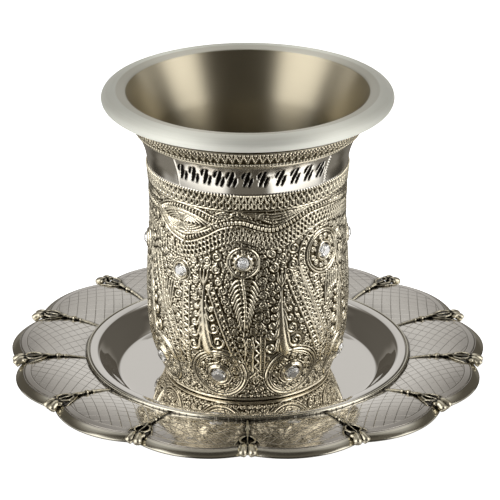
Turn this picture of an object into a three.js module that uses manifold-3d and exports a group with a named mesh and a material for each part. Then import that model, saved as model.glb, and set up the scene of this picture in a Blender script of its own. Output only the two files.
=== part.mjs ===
// A kiddush cup standing in its saucer. The cup is a cast shell of filigree relief around a plain
// drinking liner with a rolled rim, set with sixteen stones. The saucer is one casting: a round well,
// a ring moulding, and thirteen domed petals parted by cast ribs that end in small claws.
// Millimetres, +Z up. The origin is on the cup's axis, on the surface that the saucer stands on,
// and the front of the cup and one rib of the saucer face -Y.
import * as THREE from "three";
import { mergeVertices } from "three/addons/utils/BufferGeometryUtils.js";
import Module from "manifold-3d";

const wasm = await Module();
wasm.setup();

// ---- Driving dimensions ----
const GAP = 0.3; // between pieces that rest on or in one another
const FRONT = -Math.PI / 2; // azimuth of the front

const SAUCER_WALL = 1.2; // thickness of the casting
const PETALS = 13;
const PETAL_STEPS = 4; // grid columns in one petal
const WELL_FLOOR_RADIUS = 34.8;
const WELL_TOP_RADIUS = 40.1;
const RING_OUTER_RADIUS = 43.8;
const NOTCH_RADIUS = 61.2; // where two petals meet
const LOBE_RADIUS = 64.5; // the tip of a petal
const CLAW_END_RADIUS = 63.4;
const VALLEY_ARCH = 0.7; // rise of a rib's valley over its two ends
const PETAL_DOME = 0.8; // rise of a petal's middle over the valleys beside it
const LIP_WIDTH = 2.0; // the petals' sloping lip
const LIP_DROP = 1.5;

const CUP_HEIGHT = 80;
const CUP_BASE_Z = SAUCER_WALL + GAP;
const SHELL_WALL = 0.9;
const LINER_WALL = 0.8;
const RELIEF = 0.45; // how far the ground lies under the outline of the relief
const SHELL_TOP = 75.2; // above the cup's base
const CUP_COLUMNS = 32; // grid columns round the cup
const RIM_CENTRE_RADIUS = 35.5; // the rolled rim is an oval in section
const RIM_HALF_WIDTH = 2.95;
const RIM_HALF_HEIGHT = 2.15;
const RIM_INNER_RADIUS = 32; // the crisp inner edge of the rim

// Outline of the shell over its relief: height above the cup's base, radius.
const OUTLINE = [
  [0, 22.2],
  [2.8, 23.2],
  [6.6, 24.7],
  [11.6, 26.3],
  [19.8, 27.05],
  [30.5, 26.95],
  [41.9, 26.4],
  [53.2, 26.35],
  [62, 27.2],
  [66, 28.25],
  [69.6, 29.85],
  [73, 32.3],
  [SHELL_TOP, 34.5],
  [CUP_HEIGHT, 38],
];

// ---- Closed solids from rows of points ----

// Joins rows of points into one closed solid. The first and the last row hold a single point.
// The rows run from the upper face's middle outwards and back under to the lower face's middle.
function capped(rows) {
  const points = rows.flat();
  const firsts = [];
  let count = 0;
  for (const row of rows) {
    firsts.push(count);
    count += row.length;
  }
  const faces = [];
  for (let i = 0; i + 1 < rows.length; i++) {
    const inner = rows[i];
    const outer = rows[i + 1];
    const columns = Math.max(inner.length, outer.length);
    for (let j = 0; j < columns; j++) {
      const next = (j + 1) % columns;
      const a = firsts[i] + (inner.length > 1 ? j : 0);
      const b = firsts[i + 1] + (outer.length > 1 ? j : 0);
      const c = firsts[i + 1] + (outer.length > 1 ? next : 0);
      const d = firsts[i] + (inner.length > 1 ? next : 0);
      if (outer.length > 1) faces.push(a, b, c);
      if (inner.length > 1) faces.push(a, c, d);
    }
  }
  return geometryOf(points, faces);
}

// Joins sections into a bar. A section is a loop of points, and the bar closes on itself or has caps.
function barOf(sections, closed) {
  const sides = sections[0].length;
  const faces = [];
  const last = closed ? sections.length : sections.length - 1;
  for (let i = 0; i < last; i++) {
    const here = i * sides;
    const there = ((i + 1) % sections.length) * sides;
    for (let j = 0; j < sides; j++) {
      const next = (j + 1) % sides;
      faces.push(here + j, there + j, there + next);
      faces.push(here + j, there + next, here + next);
    }
  }
  if (!closed) {
    const end = (sections.length - 1) * sides;
    for (let j = 1; j + 1 < sides; j++) {
      faces.push(0, j, j + 1);
      faces.push(end, end + j + 1, end + j);
    }
  }
  return geometryOf(sections.flat(), faces);
}

function geometryOf(points, faces) {
  const geometry = new THREE.BufferGeometry();
  geometry.setFromPoints(points);
  geometry.setIndex(faces);
  return geometry;
}

function solidOf(geometry) {
  const bare = geometry.clone();
  bare.deleteAttribute("normal");
  bare.deleteAttribute("uv");
  const merged = mergeVertices(bare, 1e-4);
  return new wasm.Manifold(
    new wasm.Mesh({
      numProp: 3,
      vertProperties: merged.getAttribute("position").array,
      triVerts: new Uint32Array(merged.index.array),
    }),
  );
}

function meshOf(name, solid, material) {
  const made = solid.getMesh();
  const geometry = new THREE.BufferGeometry();
  geometry.setAttribute("position", new THREE.BufferAttribute(made.vertProperties, made.numProp));
  geometry.setIndex(new THREE.BufferAttribute(made.triVerts, 1));
  geometry.computeVertexNormals();
  const mesh = new THREE.Mesh(geometry, material);
  mesh.name = name;
  return mesh;
}

const polar = (radius, azimuth, z) =>
  new THREE.Vector3(radius * Math.cos(azimuth), radius * Math.sin(azimuth), z);

// ---- Saucer ----

// The petal's edge is an arc through both notches and the tip, as a radius over the azimuth.
function petalEdge(across) {
  const half = Math.PI / PETALS;
  const notchX = NOTCH_RADIUS * Math.cos(half);
  const notchY = NOTCH_RADIUS * Math.sin(half);
  const sagitta = LOBE_RADIUS - notchX;
  const arcRadius = (notchY * notchY + sagitta * sagitta) / (2 * sagitta);
  const centre = LOBE_RADIUS - arcRadius;
  const angle = across * 2 * half;
  return centre * Math.cos(angle) + Math.sqrt(arcRadius ** 2 - (centre * Math.sin(angle)) ** 2);
}

const VALLEY_INNER_Z = CUP_BASE_Z + 4.5;
const VALLEY_OUTER_Z = CUP_BASE_Z + 5.2;

// Height of the valley under a rib: along runs from the ring to the edge.
function valleyHeight(along) {
  const share = Math.min(1, Math.max(0, along));
  const chord = THREE.MathUtils.lerp(VALLEY_INNER_Z, VALLEY_OUTER_Z, share);
  return chord + VALLEY_ARCH * Math.sin(Math.PI * share);
}

// Height of a petal's upper face: across runs from -0.5 to 0.5 between its two ribs.
function petalHeight(along, across) {
  const crown = Math.sin(Math.PI * Math.min(1, 0.12 + 0.88 * along)) ** 0.8;
  return valleyHeight(along) + PETAL_DOME * crown * Math.max(0, Math.cos(Math.PI * across)) ** 0.8;
}

function saucerRow(pointAt) {
  const row = [];
  for (let petal = 0; petal < PETALS; petal++) {
    for (let step = 0; step < PETAL_STEPS; step++) {
      const across = step / PETAL_STEPS - 0.5;
      const azimuth = FRONT + ((petal + step / PETAL_STEPS) * 2 * Math.PI) / PETALS;
      const [radius, z] = pointAt(across);
      row.push(polar(radius, azimuth, z));
    }
  }
  return row;
}

function saucerDish() {
  const ringTop = CUP_BASE_Z + 5.46;
  const wellProfile = [
    [WELL_FLOOR_RADIUS, SAUCER_WALL],
    [36.4, SAUCER_WALL + 1.25],
    [38.5, SAUCER_WALL + 3.4],
    [WELL_TOP_RADIUS, ringTop - 0.4],
    [42.9, ringTop],
    [RING_OUTER_RADIUS, VALLEY_INNER_Z],
  ];
  const underProfile = [
    [RING_OUTER_RADIUS, VALLEY_INNER_Z - SAUCER_WALL],
    [41.7, CUP_BASE_Z + 3.6],
    [38.4, 0.9],
    [WELL_FLOOR_RADIUS + 0.8, 0],
  ];
  const alongTop = [0.25, 0.6, 0.93];
  const alongUnder = [0.95, 0.5];
  const edgeWidth = 1.3;
  const faceEdge = (across) => petalEdge(across) - LIP_WIDTH;
  const at = (along, across) => THREE.MathUtils.lerp(RING_OUTER_RADIUS, faceEdge(across), along);
  const rows = [[new THREE.Vector3(0, 0, SAUCER_WALL)]];
  for (const [radius, z] of wellProfile) {
    rows.push(saucerRow(() => [radius, z]));
  }
  for (const along of alongTop) {
    rows.push(saucerRow((across) => [at(along, across), petalHeight(along, across)]));
  }
  rows.push(saucerRow((across) => [faceEdge(across), VALLEY_OUTER_Z]));
  rows.push(saucerRow((across) => [petalEdge(across) - 0.6, VALLEY_OUTER_Z - 0.55]));
  rows.push(saucerRow((across) => [petalEdge(across), VALLEY_OUTER_Z - LIP_DROP]));
  rows.push(saucerRow((across) => [petalEdge(across) - edgeWidth, VALLEY_OUTER_Z - LIP_DROP]));
  for (const along of alongUnder) {
    rows.push(
      saucerRow((across) => [
        at(along, across),
        petalHeight(along, across) - SAUCER_WALL,
      ]),
    );
  }
  for (const [radius, z] of underProfile) {
    rows.push(saucerRow(() => [radius, z]));
  }
  rows.push([new THREE.Vector3(0, 0, 0)]);
  return solidOf(capped(rows));
}

// A rib runs out along its valley: a slim stem with a bead, a leafy knot, and a claw over the notch.
// Stations: radius, half width, height of the crest and of the foot over the valley.
const RIB_STATIONS = [
  [RING_OUTER_RADIUS - 0.8, 0.5, 0.6, -0.5],
  [51.4, 0.9, 1.0, -0.5],
  [53, 0.7, 0.8, -0.5],
  [57.0, 2.3, 1.5, -0.5],
  [59.2, 1.3, 1.0, -0.6],
  [61.2, 2.0, 0.9, -1.3],
  [CLAW_END_RADIUS, 1.9, -0.7, -1.5],
];

function ribSolid(azimuth) {
  const out = polar(1, azimuth, 0);
  const side = polar(1, azimuth + Math.PI / 2, 0);
  const sections = RIB_STATIONS.map(([radius, halfWidth, crest, foot]) => {
    const along = (radius - RING_OUTER_RADIUS) / (NOTCH_RADIUS - RING_OUTER_RADIUS);
    const valley = valleyHeight(along);
    const point = (offset, rise) =>
      out.clone().multiplyScalar(radius).addScaledVector(side, offset).setZ(valley + rise);
    return [
      point(halfWidth, foot),
      point(-halfWidth, foot),
      point(-halfWidth * 0.7, crest),
      point(halfWidth * 0.7, crest),
    ];
  });
  return solidOf(barOf(sections, false));
}

function saucerSolid() {
  let solid = saucerDish();
  for (let rib = 0; rib < PETALS; rib++) {
    solid = solid.add(ribSolid(FRONT + (rib * 2 * Math.PI) / PETALS));
  }
  return solid;
}

// ---- The cup's walls ----

function outlineRadius(height) {
  for (let i = 1; i < OUTLINE.length; i++) {
    const [lowHeight, lowRadius] = OUTLINE[i - 1];
    const [highHeight, highRadius] = OUTLINE[i];
    if (height <= highHeight) {
      const share = (height - lowHeight) / (highHeight - lowHeight);
      return THREE.MathUtils.lerp(lowRadius, highRadius, share);
    }
  }
  return OUTLINE.at(-1)[1];
}

const groundRadius = (height) => outlineRadius(height) - RELIEF;
const shellInside = (height) => groundRadius(height) - SHELL_WALL;
const linerOutside = (height) => shellInside(height) - GAP;
const linerInside = (height) => linerOutside(height) - LINER_WALL;

function cupRow(columns, radius, height) {
  const row = [];
  for (let i = 0; i < columns; i++) {
    row.push(polar(radius, FRONT + (i * 2 * Math.PI) / columns, CUP_BASE_Z + height));
  }
  return row;
}

// Raised bands of the shell over the ground: height, rise.
const BAND_STEPS = [
  [73.4, 0.45],
  [69.4, 0.45],
  [68.8, 0],
  [60.9, 0],
  [60.2, 0.55],
  [56.0, 0.55],
  [55.4, 0],
];

function shellBody() {
  const insideHeights = [11.6, 24, 53.2, 62, 69.6];
  const belowBands = [36, 16, 6.6, 2.4];
  const footRise = 0.5;
  const rows = [[new THREE.Vector3(0, 0, CUP_BASE_Z + SHELL_WALL)]];
  rows.push(cupRow(CUP_COLUMNS, shellInside(SHELL_WALL), SHELL_WALL));
  for (const height of insideHeights) {
    rows.push(cupRow(CUP_COLUMNS, shellInside(height), height));
  }
  rows.push(cupRow(CUP_COLUMNS, shellInside(SHELL_TOP), SHELL_TOP));
  rows.push(cupRow(CUP_COLUMNS, groundRadius(SHELL_TOP), SHELL_TOP));
  for (const [height, rise] of BAND_STEPS) {
    rows.push(cupRow(CUP_COLUMNS, groundRadius(height) + rise, height));
  }
  for (const height of belowBands) {
    rows.push(cupRow(CUP_COLUMNS, groundRadius(height), height));
  }
  rows.push(cupRow(CUP_COLUMNS, groundRadius(1.6) + footRise, 1.6));
  rows.push(cupRow(CUP_COLUMNS, groundRadius(0) + footRise, 0));
  rows.push([new THREE.Vector3(0, 0, CUP_BASE_Z)]);
  return solidOf(capped(rows));
}

function linerSolid() {
  const floor = SHELL_WALL + GAP + LINER_WALL;
  const rimHeight = CUP_HEIGHT - RIM_HALF_HEIGHT;
  const insideHeights = [11.6, 20, 53.2, 62, 69.6, 73];
  const outsideHeights = [73, 69.6, 62, 53.2, 20, 11.6, SHELL_WALL + GAP];
  const rollAngles = [108, 70, 30, -15, -65, -125];
  const rows = [[new THREE.Vector3(0, 0, CUP_BASE_Z + floor)]];
  rows.push(cupRow(CUP_COLUMNS, linerInside(floor) - 0.4, floor));
  for (const height of insideHeights) {
    rows.push(cupRow(CUP_COLUMNS, linerInside(height), height));
  }
  rows.push(cupRow(CUP_COLUMNS, RIM_INNER_RADIUS, rimHeight + 1.5));
  for (const angle of rollAngles) {
    const turn = THREE.MathUtils.degToRad(angle);
    const radius = RIM_CENTRE_RADIUS + RIM_HALF_WIDTH * Math.cos(turn);
    rows.push(cupRow(CUP_COLUMNS, radius, rimHeight + RIM_HALF_HEIGHT * Math.sin(turn)));
  }
  for (const height of outsideHeights) {
    rows.push(cupRow(CUP_COLUMNS, linerOutside(height), height));
  }
  rows.push([new THREE.Vector3(0, 0, CUP_BASE_Z + SHELL_WALL + GAP)]);
  return solidOf(capped(rows));
}

// ---- Relief on the shell ----
const ROOT = 0.5; // how deep a raised piece of relief is rooted in the wall
const ROUND_SIDES = 8; // of a medallion and of a stone

// A point on the shell: angle from the front in radians, height, and lift off the ground.
function onShell(angle, height, lift) {
  const step = 0.5;
  const slope = (groundRadius(height + step) - groundRadius(height - step)) / (2 * step);
  const lean = Math.hypot(1, slope);
  const radius = groundRadius(height) + lift / lean;
  return polar(radius, FRONT + angle, CUP_BASE_Z + height - (lift * slope) / lean);
}

// A round medallion or bezel: its rows are radius and lift, from the middle outwards.
function roundRelief(angle, height, profile) {
  const centreAngle = THREE.MathUtils.degToRad(angle);
  const at = (radius, lift, turn) => {
    const across = radius * Math.cos(turn);
    const up = radius * Math.sin(turn);
    const spot = height + up;
    return onShell(centreAngle + across / groundRadius(spot), spot, lift);
  };
  const ringAt = (radius, lift) => {
    const row = [];
    for (let i = 0; i < ROUND_SIDES; i++) {
      row.push(at(radius, lift, (i * 2 * Math.PI) / ROUND_SIDES));
    }
    return row;
  };
  const rows = [[at(0, profile[0][1], 0)]];
  for (const [radius, lift] of profile) {
    rows.push(ringAt(radius, lift));
  }
  rows.push([at(0, -ROOT, 0)]);
  return solidOf(capped(rows));
}

// A wire or spine laid on the shell. Stations: angle in degrees, height, half width, lift.
function wireRelief(stations, closed) {
  const spots = stations.map(([angle, height]) => [THREE.MathUtils.degToRad(angle), height]);
  const sections = stations.map(([, , halfWidth, lift], i) => {
    const before = closed ? spots.at(i - 1) : spots[Math.max(0, i - 1)];
    const after = closed ? spots[(i + 1) % spots.length] : spots[Math.min(spots.length - 1, i + 1)];
    const [angle, height] = spots[i];
    const radius = groundRadius(height);
    const turnLeft = Math.atan2(Math.sin(after[0] - before[0]), Math.cos(after[0] - before[0]));
    const run = new THREE.Vector2(turnLeft * radius, after[1] - before[1]).normalize();
    const point = (offset, rise) =>
      onShell(angle - (run.y * offset) / radius, height + run.x * offset, rise);
    return [
      point(halfWidth, -ROOT),
      point(-halfWidth, -ROOT),
      point(-halfWidth * 0.6, lift),
      point(halfWidth * 0.6, lift),
    ];
  });
  return solidOf(barOf(sections, closed));
}

const REPEAT = 45; // the lower ornament repeats eight times round the cup
const HALF_TURN = 180; // the upper ornament repeats twice

// Stones: name, angle, height, stone radius, medallion radius.
const STONES = [];
for (let k = 0; k < 8; k++) {
  const angle = -17.5 + REPEAT * k;
  STONES.push({ name: `stone_lower_${k + 1}`, angle, height: 8.6, stone: 1.9, field: 7.4 });
}
const UPPER_STONES = [
  { angle: -41, height: 36.7, stone: 1.6, field: 4.2 },
  { angle: -2.5, height: 41.2, stone: 1.5, field: 4.4 },
  { angle: 49, height: 41.2, stone: 1.8, field: 6.2 },
  { angle: 94, height: 38.5, stone: 1.6, field: 4.4 },
];
for (let half = 0; half < 2; half++) {
  UPPER_STONES.forEach((spot, i) => {
    const name = `stone_upper_${half * UPPER_STONES.length + i + 1}`;
    STONES.push({ ...spot, name, angle: spot.angle + half * HALF_TURN });
  });
}

const BEZEL_RISE = 0.85;
const BEZEL_WIDTH = 0.5;

function medallion({ angle, height, stone, field }) {
  const seat = stone + GAP;
  const collar = seat + BEZEL_WIDTH;
  return roundRelief(angle, height, [
    [seat, 0],
    [collar, BEZEL_RISE],
    [field - 1, 0.1],
    [field - 0.3, 0.5],
    [field, -ROOT],
  ]);
}

// A cut stone: a flat table over a belt of facets, with a blunt back that lies in the bezel's seat.
function stoneSolid({ angle, height, stone }) {
  const middle = THREE.MathUtils.degToRad(angle);
  const ring = (radius, lift) => {
    const row = [];
    for (let i = 0; i < ROUND_SIDES; i++) {
      const turn = ((i + 0.5) * 2 * Math.PI) / ROUND_SIDES;
      const spot = height + radius * Math.sin(turn);
      row.push(onShell(middle + (radius * Math.cos(turn)) / groundRadius(height), spot, lift));
    }
    return row;
  };
  return solidOf(
    capped([
      [onShell(middle, height, 1.55)],
      ring(stone * 0.55, 1.5),
      ring(stone, 0.9),
      [onShell(middle, height, GAP + 0.05)],
    ]),
  );
}

// The ribbon waves round the cup under the upper border: angle, height, over half a turn.
const WAVE = [
  [-39, 46.1],
  [-3.5, 52],
  [15, 49.8],
  [48, 54.2],
  [90, 52.2],
  [120, 51],
];

function waveRibbon() {
  const knots = [];
  for (let half = 0; half < 2; half++) {
    for (const [angle, height] of WAVE) {
      knots.push(new THREE.Vector3(angle + half * HALF_TURN, height, 0));
    }
  }
  const first = knots[0].clone().setX(knots[0].x + 2 * HALF_TURN);
  const path = new THREE.CatmullRomCurve3([...knots, first], false, "catmullrom", 0.5);
  const pieces = 22;
  const stations = [];
  for (let i = 0; i < pieces; i++) {
    const { x, y } = path.getPoint(i / pieces);
    stations.push([x, y, 1.2, RELIEF]);
  }
  return wireRelief(stations, true);
}

// A tree's spine tapers from a broad foot between the lower medallions to a point.
function treeSpine(angle) {
  return wireRelief(
    [
      [angle, 34.5, 0.25, 0.3],
      [angle, 24, 0.7, RELIEF],
      [angle, 15.5, 1.3, RELIEF],
    ],
    false,
  );
}

// The inscription's place on the polished band: three groups of plain slanted strokes between two
// bars. Groups: first angle, strokes, angle from stroke to stroke.
const STROKE_GROUPS = [
  [-38, 4, 7.4],
  [-9, 3, 8.4],
  [17.5, 4, 8.4],
];
const BAR_ANGLES = [-41.5, 48.5];

function bandMarks() {
  const marks = BAR_ANGLES.map((angle) => [
    [angle, 61.5, 0.3, 0.25],
    [angle, 68.3, 0.3, 0.25],
  ]);
  for (const [first, count, pitch] of STROKE_GROUPS) {
    for (let i = 0; i < count; i++) {
      const angle = first + i * pitch;
      marks.push([
        [angle - 1, 63, 0.4, 0.15],
        [angle + 1, 66.8, 0.4, 0.15],
      ]);
    }
  }
  return marks.map((stations) => wireRelief(stations, false));
}

function shellSolid() {
  let solid = shellBody();
  for (const spot of STONES) {
    solid = solid.add(medallion(spot));
  }
  for (const mark of bandMarks()) {
    solid = solid.add(mark);
  }
  for (let k = 0; k < 8; k++) {
    solid = solid.add(treeSpine(-25.5 + REPEAT * k));
  }
  return solid.add(waveRibbon());
}

// ---- Materials and the finished group ----
const nickel = new THREE.MeshStandardMaterial({ color: 0xc8c4bf, metalness: 1, roughness: 0.12 });
const antiqueSilver = new THREE.MeshStandardMaterial({ color: 0xa49a80, metalness: 1, roughness: 0.35 });
const satinSteel = new THREE.MeshStandardMaterial({ color: 0xb9bdb8, metalness: 1, roughness: 0.4 });
const crystal = new THREE.MeshStandardMaterial({ color: 0xf2f4f4, metalness: 0, roughness: 0.05 });

const cup = new THREE.Group();
cup.add(meshOf("cup_shell", shellSolid(), antiqueSilver));
cup.add(meshOf("cup_liner", linerSolid(), satinSteel));
for (const spot of STONES) {
  cup.add(meshOf(spot.name, stoneSolid(spot), crystal));
}

const set = new THREE.Group();
set.add(meshOf("saucer", saucerSolid(), nickel));
set.add(cup);
export default set;
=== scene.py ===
import math

import bpy
import numpy as np
from mathutils import Euler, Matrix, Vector


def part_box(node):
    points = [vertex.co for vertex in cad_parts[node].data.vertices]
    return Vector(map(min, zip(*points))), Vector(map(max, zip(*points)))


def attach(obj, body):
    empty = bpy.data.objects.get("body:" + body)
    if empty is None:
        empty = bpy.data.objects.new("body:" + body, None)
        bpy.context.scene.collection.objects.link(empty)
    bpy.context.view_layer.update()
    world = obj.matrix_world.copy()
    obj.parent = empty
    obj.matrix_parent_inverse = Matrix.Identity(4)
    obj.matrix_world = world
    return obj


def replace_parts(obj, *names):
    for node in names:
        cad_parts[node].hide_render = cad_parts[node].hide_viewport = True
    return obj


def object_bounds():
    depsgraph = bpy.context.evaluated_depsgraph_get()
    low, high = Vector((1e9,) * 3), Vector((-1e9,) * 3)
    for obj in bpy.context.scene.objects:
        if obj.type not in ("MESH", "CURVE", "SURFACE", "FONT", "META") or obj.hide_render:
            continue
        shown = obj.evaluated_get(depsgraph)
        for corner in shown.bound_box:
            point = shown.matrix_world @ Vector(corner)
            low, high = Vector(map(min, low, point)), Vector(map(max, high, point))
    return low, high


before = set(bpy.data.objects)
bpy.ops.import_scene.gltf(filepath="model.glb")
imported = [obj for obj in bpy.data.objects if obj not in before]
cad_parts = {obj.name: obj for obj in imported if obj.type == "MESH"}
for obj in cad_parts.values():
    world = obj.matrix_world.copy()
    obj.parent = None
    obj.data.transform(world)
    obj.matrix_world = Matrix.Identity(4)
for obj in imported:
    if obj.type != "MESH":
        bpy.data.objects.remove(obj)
cad_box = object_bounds()

# ---- Camera ----
# It stands in front of the cup and looks down on it, from far enough away that the rims stay
# close to plain ovals.
CAMERA_ASIDE = 0.0006
CAMERA_AWAY = 0.7418
CAMERA_UP = 0.3489
CAMERA_TILT = 22.91
CAMERA_LENS = 216.8
CAMERA_SENSOR = 36


def stand(name, data):
    """An object in the scene, made of a camera or a mesh."""
    made = bpy.data.objects.new(name, data)
    bpy.context.scene.collection.objects.link(made)
    return made


camera = stand("camera", bpy.data.cameras.new("camera"))
camera.data.lens = CAMERA_LENS
camera.data.sensor_width = CAMERA_SENSOR
camera.location = (CAMERA_ASIDE, -CAMERA_AWAY, CAMERA_UP)
camera.rotation_euler = Euler((math.radians(90 - CAMERA_TILT), 0, 0))
bpy.context.scene.camera = camera
bpy.context.scene.view_settings.view_transform = "Standard"


# ---- Studio ----
# A white table between two tall soft boxes, under a soft ceiling, with a lit backdrop behind. The
# polished metal needs dark gaps between them, so the air holds their light itself. The table shines
# by itself, and the metal mirrors the low air in its place.
class Link:
    """A socket in a node tree. Sums and products of links, and of links and numbers, add Math nodes."""

    def __init__(self, tree, socket=None):
        self.tree = tree
        self.socket = socket

    def node(self, kind, settings=None, inputs=None, output=0):
        """A node of the kind, with its settings made first, and then its sockets set or linked."""
        made = self.tree.nodes.new("ShaderNode" + kind)
        for name, value in (settings or {}).items():
            setattr(made, name, value)
        for name, value in (inputs or {}).items():
            if isinstance(value, Link):
                self.tree.links.new(value.socket, made.inputs[name])
            else:
                made.inputs[name].default_value = value
        return Link(self.tree, made.outputs[output])

    def math(self, operation, *values):
        return self.node("Math", {"operation": operation}, dict(enumerate(values)))

    def __add__(self, other):
        return self.math("ADD", self, other)

    __radd__ = __add__

    def __sub__(self, other):
        return self.math("SUBTRACT", self, other)

    def __rsub__(self, other):
        return self.math("SUBTRACT", other, self)

    def __mul__(self, other):
        return self.math("MULTIPLY", self, other)

    __rmul__ = __mul__

    def rise(self, low, high):
        """0 below low, 1 above high, and smooth between them."""
        limits = {"Value": self, "From Min": low, "From Max": high}
        return self.node("MapRange", {"interpolation_type": "SMOOTHSTEP"}, limits)

    def blend(self, under, over):
        """The colour under where this link is 0, and the colour over where it is 1."""
        sides = {"Factor": self, 6: under, 7: over}
        return self.node("Mix", {"data_type": "RGBA"}, sides, output=2)

    def mask(self, name):
        """The values that a mesh carries under a name."""
        return self.node("Attribute", {"attribute_name": name}, output="Fac")

    def noise(self, scale, detail, place=None):
        """Soft noise over the object, or over another place."""
        place = place or self.node("TexCoord", output="Object")
        return self.node("TexNoise", None, {"Vector": place, "Scale": scale, "Detail": detail})

    def bump(self, strength, distance, height):
        """Normals that show a height that the mesh doesn't have."""
        return self.node("Bump", None, {"Strength": strength, "Distance": distance, "Height": height})


def finish(name, **plain):
    """A material of one Principled shader with plain values, the start of its links, and the shader."""
    material = bpy.data.materials.new(name)
    material.use_nodes = True
    shader = material.node_tree.nodes["Principled BSDF"]
    for socket, value in plain.items():
        shader.inputs[socket.replace("_", " ")].default_value = value
    return material, Link(material.node_tree), shader


def vary(shader, **links):
    """Give sockets of a shader what varies over the surface."""
    for socket, link in links.items():
        link.tree.links.new(link.socket, shader.inputs[socket.replace("_", " ")])


air = bpy.data.worlds.new("studio_air")
bpy.context.scene.world = air
air.use_nodes = True
start = Link(air.node_tree)
heading = start.node("TexCoord", output="Generated")
east, north, up = (start.node("SeparateXYZ", None, {0: heading}, output=axis) for axis in "XYZ")
turn = start.math("ARCTAN2", east, 0 - north) * (180 / math.pi)
aside = start.math("ABSOLUTE", turn)
behind = 180 - aside

# Each soft box has two headings in degrees from the front, two heights from -1 to 1, and a light:
# a tall box on each side with a low wing and a foot, and two boxes that stand for the lit table.
SOFT_BOXES = [
    (-86, -34, -0.02, 0.8, 2.4),
    (-122, -86, -0.02, 0.28, 1.4),
    (-116, -34, -0.5, -0.1, 0.75),
    (52, 92, -0.02, 0.72, 2.5),
    (92, 126, -0.02, 0.28, 1.2),
    (50, 110, -0.5, -0.1, 0.75),
    (-94, -26, -0.97, -0.56, 1.3),
    (28, 98, -0.97, -0.54, 1.5),
]
SOFT_EDGE = 6
SOFT_RISE = SOFT_EDGE / 90
BASE_GLOW = 0.055
BACKDROP_LIGHT = 0.6
CEILING_LIGHT = 0.75
DIM_AIR = (1.0, 0.91, 0.76, 1)
BRIGHT_AIR = (1.0, 0.985, 0.96, 1)


def soft_box(turn_from, turn_to, up_from, up_to):
    """A patch of the air with soft edges."""
    begun = turn.rise(turn_from - SOFT_EDGE, turn_from + SOFT_EDGE)
    passed = turn.rise(turn_to - SOFT_EDGE, turn_to + SOFT_EDGE)
    above = up.rise(up_from - SOFT_RISE, up_from + SOFT_RISE)
    over = up.rise(up_to - SOFT_RISE, up_to + SOFT_RISE)
    return begun * (1 - passed) * above * (1 - over)


narrow = 1 - behind.rise(6, 24) * (1 - up.rise(0.6, 0.85)) * 0.9
backdrop = up.rise(-0.03, 0.12) * (1.08 - up.rise(0.28, 0.6) * 0.16) * (1 - up.rise(0.56, 0.8) * 0.35)
backdrop = backdrop * narrow * (1 - behind.rise(70, 90))
ceiling = up.rise(0.7, 0.84) * (1 - up.rise(0.9, 0.97)) * (0.12 + (1 - behind.rise(40, 62)) * 1.25)
low_air = (1 - up.rise(-0.6, -0.45)) * (0.1 + aside.rise(80, 96) * 0.08) * (1 - aside.rise(132, 146))
table_glow = aside.rise(138, 156) * (1 - up.rise(0.05, 0.2)) * 0.14
glow = BASE_GLOW + backdrop * BACKDROP_LIGHT + ceiling * CEILING_LIGHT + low_air + table_glow
for *patch, light in SOFT_BOXES:
    glow = glow + soft_box(*patch) * light
warmth = glow.rise(0.04, 0.5).blend(DIM_AIR, BRIGHT_AIR)
vary(air.node_tree.nodes["Background"], Strength=glow, Color=warmth)

FLOOR_REACH = 6.0
FLOOR_GAP = 0.0002
floor_mesh = bpy.data.meshes.new("floor")
square = [(-1, -1), (1, -1), (1, 1), (-1, 1)]
floor_mesh.from_pydata([(x * FLOOR_REACH, y * FLOOR_REACH, 0) for x, y in square], [], [(0, 1, 2, 3)])
floor = stand("floor", floor_mesh)
floor.location.z = cad_box[0][2] - FLOOR_GAP
floor.visible_glossy = False
table_white, start, shader = finish("table_white", Base_Color=(0.9, 0.9, 0.9, 1), Roughness=0.9)
shader.inputs["Emission Color"].default_value = (1, 1, 1, 1)
shader.inputs["Emission Strength"].default_value = 1.0
floor_mesh.materials.append(table_white)

# ---- Saucer dish ----
# One nickel-plated casting: a flat round well with a curved wall, a ring moulding, and thirteen
# domed petals with sloping lips. Their faces are engraved with a curved net inside a border line
# and step down at the edge. Old polish and painted shade darken the seams along the ribs and the
# ring. The faces carry a painted reflection, lighter near the ring and darker towards their edges,
# and the underside carries painted shade.
MM = 0.001
FRONT = -math.pi / 2
TABLE = cad_box[0][2] / MM
CUP_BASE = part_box("cup_shell")[0].z / MM
SAUCER_WALL = 1.2
WELL_RADIUS = 34.8
WELL_WALL = [
    (33.9, 1.2), (34.6, 1.27), (35.3, 1.6), (36.3, 2.45),
    (37.4, 3.5), (38.4, 4.55), (39.3, 5.45), (40.15, 6.35),
]
RING_BEVEL = [(40.5, 6.62), (40.8, 6.72), (42.5, 6.94), (42.75, 6.9), (42.86, 6.7)]
RING_ROLL = 0.42
RING_RADIUS = 43.8
RING_TOP = CUP_BASE + 5.46
ROLL_ROWS = 10
PETALS = 13
PETAL_COLUMNS = 52
PETAL_DOME = 0.75
NOTCH_RADIUS = 61.2
LOBE_RADIUS = 64.5
VALLEY_INNER = CUP_BASE + 4.5
VALLEY_OUTER = CUP_BASE + 5.2
VALLEY_ARCH = 0.6
FINE_INSETS = (2.4, 2.0, 1.6, 1.2, 0.9, 0.7, 0.58, 0.5, 0.42, 0.35, 0.28, 0.2, 0.1, 0.0)
STEP_INSET = 0.35
STEP_DEPTH = 0.08
GROOVE_DEPTH = 0.14
GROOVE_WIDTH = 0.1
LIP_WIDTH = 2.0
LIP_DROP = 1.5
LIP_START = 0.06
LIP_STEP = 0.12
LIP_ROWS = 10
LIP_INSIDE = [(0.02, 0.14), (0.14, 0.3), (0.45, 0.38), (1.1, 0.3), (1.35, 0.1)]
UNDERSIDE = [(41.7, CUP_BASE + 3.6), (40.4, 3.0), (38.4, 0.9), (36.6, 0.15)]
FOOT_RADII = (35.6, 20, 4)
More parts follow.
